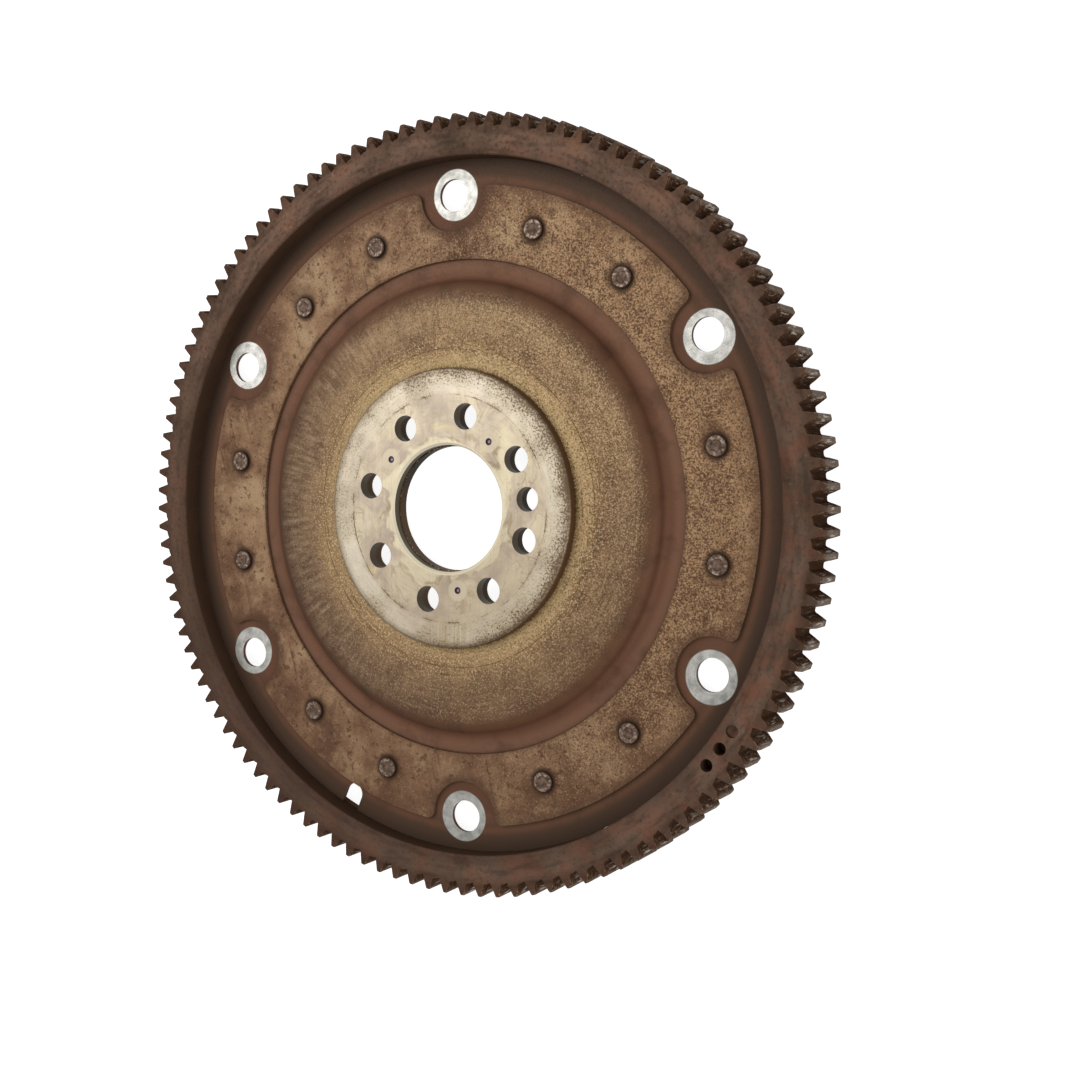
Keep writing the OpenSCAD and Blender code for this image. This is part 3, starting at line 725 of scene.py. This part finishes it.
def settled_dirt_and_shadow(tree, colour, place, radius, angle, blotches, edge_rust):
    """Dirt and painted shadow round the rivets and along the inner edge, and dirt in the scallops and along
    the outer edge.
    """
    uneven = add(tree, "MapRange", {0: blotches, 1: 0.3, 2: 0.7, 3: -1.0, 4: 1.0})
    dirt_and_shadow_smear = smeared_dirt_and_shadow(tree, place, uneven)
    rivet = from_six(tree, radius, angle, RIVET_R, LOBE_FIRST, RIVET_SPREAD)
    # Dirt and painted shadow in a ring round the foot of each rivet.
    dirt_and_shade_at_foot = add(tree, "MapRange", {
        0: rivet, 1: RIVET_HEAD_R + 2.5, 2: RIVET_HEAD_R + 0.2, 4: 0.9}, interpolation_type="SMOOTHSTEP")
    hole = from_six(tree, radius, angle, CONVERTER_R, CONVERTER_FIRST)
    hole = add(tree, "Math", {0: hole, 1: uneven}, operation="ADD")
    scallop = add(tree, "MapRange", {
        0: hole, 1: SCALLOP_R + 5.7, 2: SCALLOP_R, 4: 0.75}, interpolation_type="SMOOTHSTEP")
    # Dirt and painted shade along the inner edge of the ring.
    inner_edge_dirt_and_shade = add(tree, "MapRange", {
        0: radius, 1: STIFFENER_INNER_R + 1.3, 2: STIFFENER_INNER_R + 0.2, 4: 0.35})
    outer_edge = add(tree, "MapRange", {
        0: radius, 1: STIFFENER_OUTER_R - 4.4, 2: STIFFENER_OUTER_R - 0.2, 4: 0.55},
        interpolation_type="SMOOTHSTEP")
    outer_edge = add(tree, "Math", {0: outer_edge, 1: edge_rust}, operation="MULTIPLY")
    for mask, tone in ((dirt_and_shadow_smear, "#553B28"), (dirt_and_shade_at_foot, "#3D291C"), (scallop, "#553C2C"),
                       (inner_edge_dirt_and_shade, "#4A3325"), (outer_edge, "#5A4030")):
        colour = add(tree, "Mix", {0: mask, 6: colour, 7: linear(tone)}, data_type="RGBA")
    return colour


print("Dirt round twelve rivets on a circle of", 2 * RIVET_R, "mm")

# %% [markdown]
# The finished ring uses the same rust grain as the disc, for its colour, its gloss and its relief, so a
# dark pit is also a hollow. Its edge has rusted all round, but least on the sheltered side.

# %% Stiffening ring: finished steel
RING_BLOTCH_MM = 6


def stiffener_steel():
    """Tan sheet with scratches, pits, specks and settled dirt."""
    material, tree, place = start_steel("pitted_stained_sheet")
    radius, angle = around_axis(tree, place)
    pitted = add(tree, "MapRange", {0: towards(tree, angle, PITTED_SIDE), 1: -0.4, 2: 0.7})
    edge_rust = add(tree, "MapRange", {
        0: towards(tree, angle, SHELTERED_SIDE), 1: 0.0, 2: 0.8, 3: 1.0, 4: 0.45})
    blotches = add(tree, "TexNoise", {
        "Vector": place, "Scale": 1 / RING_BLOTCH_MM, "Detail": 5, "Roughness": 0.65})
    grain = add(tree, "TexNoise", {"Vector": place, "Scale": 1 / GRAIN_MM, "Detail": 3, "Roughness": 0.6})
    colour = tan_stain(tree, place, radius, angle, blotches, edge_rust)
    colour = scratches_and_dots(tree, colour, place)
    colour = pits_and_specks(tree, colour, radius, grain, pitted)
    colour = settled_dirt_and_shadow(tree, colour, place, radius, angle, blotches, edge_rust)

    gloss = add(tree, "MapRange", {0: grain, 1: 0.3, 2: 0.7, 3: 0.72, 4: 0.52})
    relief = add(tree, "Bump", {"Strength": 0.4, "Distance": 0.15 * MM, "Height": grain})
    return finish_steel(material, tree, colour, 0.25, gloss, relief, mirror=0.15)


dress(["reinforcement_ring"], stiffener_steel())

# %% [markdown]
# The hub plate was clamped against the crankshaft, so it stayed bare and pale. Oil has left soft films on
# it in straw, cream and mauve, with a thin brown line where a film dried up, and the steel round the bore
# is washed pale. A band cut out of the same noise gives such a line, because it follows the edge of the
# film exactly.

# %% Hub plate: oil films
OIL_MM = 17
FILM_MM = 8
WASHED_R = 30.2


def oil_films(tree, place, radius, present):
    """Films of oil with drying lines, and a washed area round the bore with a broken edge."""
    oil = add(tree, "TexNoise", {
        "Vector": place, "Scale": 1 / OIL_MM, "Detail": 3, "Roughness": 0.5, "Distortion": 0.6})
    colour = add(tree, "ValToRGB", {0: oil}, stops=[
        (0.28, "#DDCFAC"), (0.40, "#D5C6A9"), (0.50, "#C9B9A0"), (0.60, "#B3A292"), (0.72, "#CCBA94")])
    film = add(tree, "TexNoise", {
        "Vector": place, "Scale": 1 / FILM_MM, "Detail": 4, "Roughness": 0.55, "Distortion": 0.4})
    milky = add(tree, "MapRange", {0: film, 1: 0.52, 2: 0.68, 4: 0.45})
    dusky = add(tree, "MapRange", {0: film, 1: 0.46, 2: 0.32, 4: 0.5})
    dried = add(tree, "Math", {0: oil, 1: 0.47, 2: 0.010}, operation="COMPARE")
    dried = add(tree, "Math", {0: dried, 1: present}, operation="MULTIPLY")
    dried = add(tree, "Math", {0: dried, 1: 0.35}, operation="MULTIPLY")
    ragged = add(tree, "MapRange", {0: oil, 1: 0.3, 2: 0.7, 3: -6.0, 4: 6.0})
    splash = add(tree, "Math", {0: radius, 1: ragged}, operation="ADD")
    washed = add(tree, "MapRange", {0: splash, 1: WASHED_R, 2: WASHED_R - 1.6, 4: 0.75})
    edge_out = add(tree, "MapRange", {0: splash, 1: WASHED_R + 0.7, 2: WASHED_R + 0.2, 4: 0.6})
    edge_in = add(tree, "MapRange", {0: splash, 1: WASHED_R - 1.7, 2: WASHED_R - 0.4})
    wash_edge = add(tree, "Math", {0: edge_out, 1: edge_in}, operation="MULTIPLY")
    wash_edge = add(tree, "Math", {0: wash_edge, 1: present}, operation="MULTIPLY")
    for mask, tone in ((milky, "#DED2BA"), (dusky, "#A5938A"), (dried, "#8A765B"),
                       (washed, "#E2D5B6"), (wash_edge, "#8B7854")):
        colour = add(tree, "Mix", {0: mask, 6: colour, 7: linear(tone)}, data_type="RGBA")
    return colour


print("Oil films", OIL_MM, "and", FILM_MM, "mm wide, washed out to", WASHED_R, "mm")

# %% [markdown]
# Brush marks lie across the oil. A thin broken circle shows where the mating face ended. Outside it the
# steel is whiter, and at one place oil has run down over it. The circle is drawn where the radius is
# within a fifth of a millimetre of its own, and a noise breaks it up.

# %% Hub plate: brush marks and outer band
WITNESS_R = 44.5
RUN_SIDE = -75


def brush_marks(tree, colour, brushed):
    """Fine grey and straw strokes over the oil."""
    grey = add(tree, "MapRange", {0: brushed, 1: 0.47, 2: 0.34, 4: 0.25})
    straw = add(tree, "MapRange", {0: brushed, 1: 0.60, 2: 0.70, 4: 0.3})
    for mask, tone in ((grey, "#A8967E"), (straw, "#D9C692")):
        colour = add(tree, "Mix", {0: mask, 6: colour, 7: linear(tone)}, data_type="RGBA")
    return colour


def outer_band(tree, colour, radius, angle, clean, brushed, present):
    """Whiter steel outside the mating face, the run of oil over it, and the broken circle."""
    steel = add(tree, "ValToRGB", {0: clean}, stops=[
        (0.32, "#C0B29D"), (0.43, "#CEC1AB"), (0.55, "#D8CCB7"), (0.68, "#E1D7C4")])
    outside = add(tree, "MapRange", {0: radius, 1: WITNESS_R - 0.5, 2: WITNESS_R + 1.5, 4: 0.7})
    colour = add(tree, "Mix", {0: outside, 6: colour, 7: steel}, data_type="RGBA")
    run = add(tree, "MapRange", {0: towards(tree, angle, RUN_SIDE), 1: 0.96, 2: 1.0})
    run_marks = add(tree, "MapRange", {0: brushed, 1: 0.42, 2: 0.56, 4: 0.8})
    run = add(tree, "Math", {0: run, 1: run_marks}, operation="MULTIPLY")
    run = add(tree, "Math", {0: run, 1: outside}, operation="MULTIPLY")
    witness = add(tree, "Math", {0: radius, 1: WITNESS_R, 2: 0.2}, operation="COMPARE")
    witness = add(tree, "Math", {0: witness, 1: present}, operation="MULTIPLY")
    for mask, tone in ((run, "#A28A60"), (witness, "#7A684F")):
        colour = add(tree, "Mix", {0: mask, 6: colour, 7: linear(tone)}, data_type="RGBA")
    return colour


print("Mating face ends at", WITNESS_R, "mm")

# %% [markdown]
# One side of the face is painted lighter, as a painted reflection of the lamp, and the far side darker, as
# painted shade. Faint turning marks run round the axis. As on the disc, real ones are too fine to show, so
# they are drawn 0.9 mm apart.

# %% Hub plate: painted reflection and shade, and turning marks
REFLECTION_SIDE = 125
HUB_TURNING_MM = 0.9
HUB_TURNS_PER_RADIAN = 4


def painted_reflection_side(tree, colour, radius, angle):
    """A painted reflection on one side, painted shade on the far side, and faint turning marks round the
    axis.
    """
    # Painted reflection of the lamp on one side, and painted shade on the far side.
    painted_reflection = add(tree, "MapRange", {0: towards(tree, angle, REFLECTION_SIDE), 1: 0.0, 2: 1.0, 4: 0.15})
    darker_side = add(tree, "MapRange", {0: towards(tree, angle, REFLECTION_SIDE), 1: -0.2, 2: -1.0, 4: 0.35})
    turn_angle = add(tree, "Math", {0: angle, 1: HUB_TURNS_PER_RADIAN}, operation="MULTIPLY")
    lathe = add(tree, "CombineXYZ", {0: radius, 1: turn_angle})
    turning = add(tree, "TexNoise", {"Vector": lathe, "Scale": 1 / HUB_TURNING_MM, "Detail": 2})
    line = add(tree, "MapRange", {0: turning, 1: 0.52, 2: 0.70, 4: 0.25})
    for mask, tone in ((painted_reflection, "#EDDFC7"), (darker_side, "#A8967B"), (line, "#A3937A")):
        colour = add(tree, "Mix", {0: mask, 6: colour, 7: linear(tone)}, data_type="RGBA")
    return colour


print("Turning marks", HUB_TURNING_MM, "mm apart")

# %% [markdown]
# Dark rust specks creep in from the rim, thickest on the pitted side, and crumbs of them lie along the
# circle. Each speck is a low point of one noise, and the limit below which it shows rises towards the
# rim.

# %% Hub plate: rust specks
CRUMB_MM = 1.8


def rim_specks(tree, colour, radius, angle, clean, grit, present):
    """Specks and a brown wash that thicken towards the rim, with crumbs along the circle."""
    rimward = add(tree, "MapRange", {0: radius, 1: HUB_R - 11.8, 2: HUB_R - 0.3, 3: 0.0, 4: 0.29})
    rust_side = add(tree, "MapRange", {
        0: towards(tree, angle, PITTED_SIDE), 1: -0.6, 2: 0.8, 3: 0.45, 4: 1.0})
    rimward = add(tree, "Math", {0: rimward, 1: rust_side}, operation="MULTIPLY")
    creep = add(tree, "MapRange", {0: clean, 1: 0.65, 2: 0.35, 3: 0.25, 4: 0.35})
    limit = add(tree, "Math", {0: rimward, 1: creep}, operation="ADD")
    off_circle = add(tree, "Math", {0: radius, 1: WITNESS_R}, operation="SUBTRACT")
    off_circle = add(tree, "Math", {0: off_circle}, operation="ABSOLUTE")
    crumbs = add(tree, "MapRange", {0: off_circle, 1: CRUMB_MM, 2: 0.2, 4: 0.13})
    crumbs = add(tree, "Math", {0: crumbs, 1: present}, operation="MULTIPLY")
    limit = add(tree, "Math", {0: limit, 1: crumbs}, operation="ADD")
    depth = add(tree, "Math", {0: limit, 1: grit}, operation="SUBTRACT")
    wash = add(tree, "MapRange", {0: depth, 1: -0.12, 2: 0.05, 4: 0.45})
    specks = add(tree, "MapRange", {0: depth, 1: 0.0, 2: 0.06, 4: 0.8})
    rim = add(tree, "MapRange", {
        0: radius, 1: HUB_R - 4.0, 2: HUB_R - 0.2, 4: 0.6}, interpolation_type="SMOOTHSTEP")
    for mask, tone in ((wash, "#8B7353"), (specks, "#5A442E"), (rim, "#6F5A43")):
        colour = add(tree, "Mix", {0: mask, 6: colour, 7: linear(tone)}, data_type="RGBA")
    return colour


print("Crumbs of rust within", CRUMB_MM, "mm of the circle")

# %% [markdown]
# Three small marks on the face may come from welds or a punch. They are shallow pits in the CAD model,
# and here each gets a dark ring, a mauve dot and a pale halo with a faint broken edge. The distance to
# the nearest of the three gives all of these.

# %% Hub plate: three small marks
MARK_R = 32.2
MARK_ANGLES = (67, 157.2, 293)
HALO_R = 4.4
MARK_RING_R = 1.5
MARK_DOT_R = 0.8
HUB_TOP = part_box("hub_plate")[1].z / MM


def small_marks(tree, colour, place, present):
    """A pale halo with a faint broken edge, a dark ring and a mauve dot at each of the three marks."""
    away = None
    for degrees in MARK_ANGLES:
        turn = math.radians(degrees)
        centre = (MARK_R * math.cos(turn), MARK_R * math.sin(turn), HUB_TOP)
        distance = add(tree, "VectorMath", {0: place, 1: centre}, operation="DISTANCE")
        away = add(tree, "Math", {0: away, 1: distance}, operation="MINIMUM") if away else distance
    halo = add(tree, "MapRange", {0: away, 1: HALO_R, 2: HALO_R - 0.5, 4: 0.6})
    halo_edge = add(tree, "Math", {0: away, 1: HALO_R + 0.3, 2: 0.3}, operation="COMPARE")
    halo_edge = add(tree, "Math", {0: halo_edge, 1: present}, operation="MULTIPLY")
    halo_edge = add(tree, "Math", {0: halo_edge, 1: 0.2}, operation="MULTIPLY")
    ring = add(tree, "MapRange", {0: away, 1: MARK_RING_R, 2: MARK_RING_R - 0.25})
    dot = add(tree, "MapRange", {0: away, 1: MARK_DOT_R, 2: MARK_DOT_R - 0.25})
    for mask, tone in ((halo, "#CFC2A8"), (halo_edge, "#8F7C58"), (ring, "#43353F"), (dot, "#8F8294")):
        colour = add(tree, "Mix", {0: mask, 6: colour, 7: linear(tone)}, data_type="RGBA")
    return colour


print(len(MARK_ANGLES), "marks at", MARK_R, "mm from the axis")

# %% [markdown]
# The finished hub has these layers on its upper face only. Its walls, in the bore, the bolt holes and
# round the rim, are brown. The chamfer of the bore is rubbed to a cream line. Bare steel shows more metal
# than the stained sheet, but the oil on it keeps it from shining like a mirror.

# %% Hub plate: finished steel
HUB_BORE_R = 24.8
BREAK_MM = 9
BRUSH_MM = (0.8, 25)
CLEAN_MM = 12
HUB_GRIT_MM = 0.8


def hub_steel():
    """Pale clamped steel with oil, brush marks, specks and marks above, and brown walls."""
    material, tree, place = start_steel("bare_clamped_steel")
    radius, angle = around_axis(tree, place)
    upper = add(tree, "MapRange", {0: facing_up(tree), 1: 0.35, 2: 0.6})
    breaks = add(tree, "TexNoise", {"Vector": place, "Scale": 1 / BREAK_MM, "Detail": 3})
    present = add(tree, "MapRange", {0: breaks, 1: 0.45, 2: 0.56})
    stroke = add(tree, "VectorRotate", {
        "Vector": place, "Angle": math.radians(PLATE_TURN)}, rotation_type="Z_AXIS")
    stroke_size = (1 / BRUSH_MM[0], 1 / BRUSH_MM[1], 1)
    stroke = add(tree, "VectorMath", {0: stroke, 1: stroke_size}, operation="MULTIPLY")
    brushed = add(tree, "TexNoise", {"Vector": stroke, "Scale": 1, "Detail": 3, "Roughness": 0.6})
    clean = add(tree, "TexNoise", {"Vector": place, "Scale": 1 / CLEAN_MM, "Detail": 4, "Roughness": 0.5})
    grit = add(tree, "TexNoise", {"Vector": place, "Scale": 1 / HUB_GRIT_MM, "Detail": 5, "Roughness": 0.7})

    colour = oil_films(tree, place, radius, present)
    colour = brush_marks(tree, colour, brushed)
    colour = outer_band(tree, colour, radius, angle, clean, brushed, present)
    colour = painted_reflection_side(tree, colour, radius, angle)
    colour = rim_specks(tree, colour, radius, angle, clean, grit, present)
    colour = small_marks(tree, colour, place, present)
    outer_wall = add(tree, "MapRange", {0: radius, 1: HUB_R - 4.8, 2: HUB_R - 2.8})
    wall = add(tree, "Mix", {0: outer_wall, 6: linear("#4C402E"), 7: linear("#5F432B")}, data_type="RGBA")
    colour = add(tree, "Mix", {0: upper, 6: wall, 7: colour}, data_type="RGBA")
    lip = add(tree, "MapRange", {0: radius, 1: HUB_BORE_R + 1.4, 2: HUB_BORE_R + 0.9})
    lip = add(tree, "Math", {0: lip, 1: upper}, operation="MULTIPLY")
    colour = add(tree, "Mix", {0: lip, 6: colour, 7: linear("#E8DDC0")}, data_type="RGBA")

    gloss = add(tree, "MapRange", {0: clean, 1: 0.3, 2: 0.7, 3: 0.55, 4: 0.4})
    relief = add(tree, "Bump", {"Strength": 0.2, "Distance": 0.06 * MM, "Height": grit})
    metal = add(tree, "MapRange", {0: upper, 3: 0.4, 4: 0.6})
    metal = add(tree, "Mix", {0: lip, 2: metal, 3: 0.2})
    return finish_steel(material, tree, colour, metal, gloss, relief, mirror=0.3)


dress(["hub_plate"], hub_steel())

# %% [markdown]
# Each rivet's head was pressed down hard, which raised a rim. Hands and tools have rubbed that rim into a
# broken ring of paler flecks, while its middle kept its brown film. Its foot is darkened with dirt and with
# painted shade where the head meets the ring. The distance to the nearest rivet gives all three zones, so one
# material serves all twelve.

# %% Rivets: pressed heads
MOTTLE_MM = 1.3
FLECK_MM = 1.2


def rivet_steel():
    """Mottled brown heads with a rubbed rim, and a foot darkened with dirt and painted shade."""
    material, tree, place = start_steel("pressed_rivet_steel")
    radius, angle = around_axis(tree, place)
    rivet = from_six(tree, radius, angle, RIVET_R, LOBE_FIRST, RIVET_SPREAD)
    mottle = add(tree, "TexNoise", {"Vector": place, "Scale": 1 / MOTTLE_MM, "Detail": 5, "Roughness": 0.65})
    colour = add(tree, "ValToRGB", {0: mottle}, stops=[
        (0.35, "#4A392E"), (0.5, "#665246"), (0.65, "#826C5E")])
    rim_out = add(tree, "MapRange", {0: rivet, 1: RIVET_HEAD_R - 0.2, 2: RIVET_HEAD_R - 0.6})
    rim_in = add(tree, "MapRange", {0: rivet, 1: RIVET_HEAD_R - 2.1, 2: RIVET_HEAD_R - 1.5})
    rim = add(tree, "Math", {0: rim_out, 1: rim_in}, operation="MULTIPLY")
    flecks = add(tree, "TexNoise", {"Vector": place, "Scale": 1 / FLECK_MM, "Detail": 3})
    flecks = add(tree, "MapRange", {0: flecks, 1: 0.48, 2: 0.66, 4: 0.8})
    rubbed = add(tree, "Math", {0: rim, 1: flecks}, operation="MULTIPLY")
    # Dirt and painted shade at the foot of the head.
    dirt_and_shade_at_foot = add(tree, "MapRange", {0: rivet, 1: RIVET_HEAD_R - 0.5, 2: RIVET_HEAD_R})
    for mask, tone in ((rubbed, "#B5A18E"), (dirt_and_shade_at_foot, "#33251B")):
        colour = add(tree, "Mix", {0: mask, 6: colour, 7: linear(tone)}, data_type="RGBA")
    gloss = add(tree, "MapRange", {0: rubbed, 3: 0.62, 4: 0.42})
    relief = add(tree, "Bump", {"Strength": 0.5, "Distance": 0.15 * MM, "Height": mottle})
    return finish_steel(material, tree, colour, 0.45, gloss, relief, mirror=0.2)


dress(["rivets"], rivet_steel())

# %% [markdown]
# The floor is a plain white sheet. For the camera and for reflections it glows, so it stays white under
# soft light. More lamps could do that too, but they would bleach the plate. The rest of its brightness is
# plain reflected light, so it still takes the plate's shadow.

# %% Floor
FLOOR_SIDE = 8.0
FLOOR_GLOW = 0.9
bpy.ops.object.select_all(action="DESELECT")
bpy.ops.mesh.primitive_plane_add(size=FLOOR_SIDE)
floor = bpy.context.object
floor.name = "floor"
sheet = bpy.data.materials.new("white_floor")
sheet.use_nodes = True
sheet.node_tree.nodes.clear()
paths = add(sheet.node_tree, "LightPath", {})
seen = paths.outputs["Is Camera Ray"]
for ray in ("Is Glossy Ray", "Is Transmission Ray"):
    seen = add(sheet.node_tree, "Math", {0: seen, 1: paths.outputs[ray]}, operation="MAXIMUM")
glow = add(sheet.node_tree, "Math", {0: seen, 1: FLOOR_GLOW}, operation="MULTIPLY")
shine = add(sheet.node_tree, "Emission", {"Strength": glow})
matt = add(sheet.node_tree, "BsdfDiffuse", {"Color": linear("#B4B4B4")})
both = add(sheet.node_tree, "AddShader", {0: shine, 1: matt})
add(sheet.node_tree, "OutputMaterial", {"Surface": both})
floor.data.materials.append(sheet)
print("Floor laid,", FLOOR_SIDE, "m wide")

# %% [markdown]
# Soft light from a large lamp on the far left of the picture lands on the plate at a slant, so the pale
# hub picks up its reflection. A second, weaker lamp fills from the right, and an even sky does the rest.
# Each lamp is given by its place and side in metres and its power in watts.

# %% Lights
LAMPS = [
    ("key_softbox", (-0.75, 0.55, 1.05), 1.1, 10),
    ("fill_softbox", (0.9, -0.4, 0.8), 1.0, 7),
]
SKY_STRENGTH = 0.4
for name, spot, side, power in LAMPS:
    bpy.ops.object.light_add(type="AREA")
    lamp = bpy.context.object
    lamp.name = name
    lamp.data.size = side
    lamp.data.energy = power
    lamp.location = turn_to_plate @ Vector(spot)
    lamp.rotation_euler = (-lamp.location).to_track_quat("-Z", "Y").to_euler()

world = bpy.data.worlds.new("even_sky")
bpy.context.scene.world = world
world.use_nodes = True
world.node_tree.nodes.clear()
sky = add(world.node_tree, "Background", {"Color": linear("#FFFFFF"), "Strength": SKY_STRENGTH})
add(world.node_tree, "OutputWorld", {"Surface": sky})
bpy.context.scene.view_settings.view_transform = "Standard"
print("Lamps:", ", ".join(name for name, *_ in LAMPS))
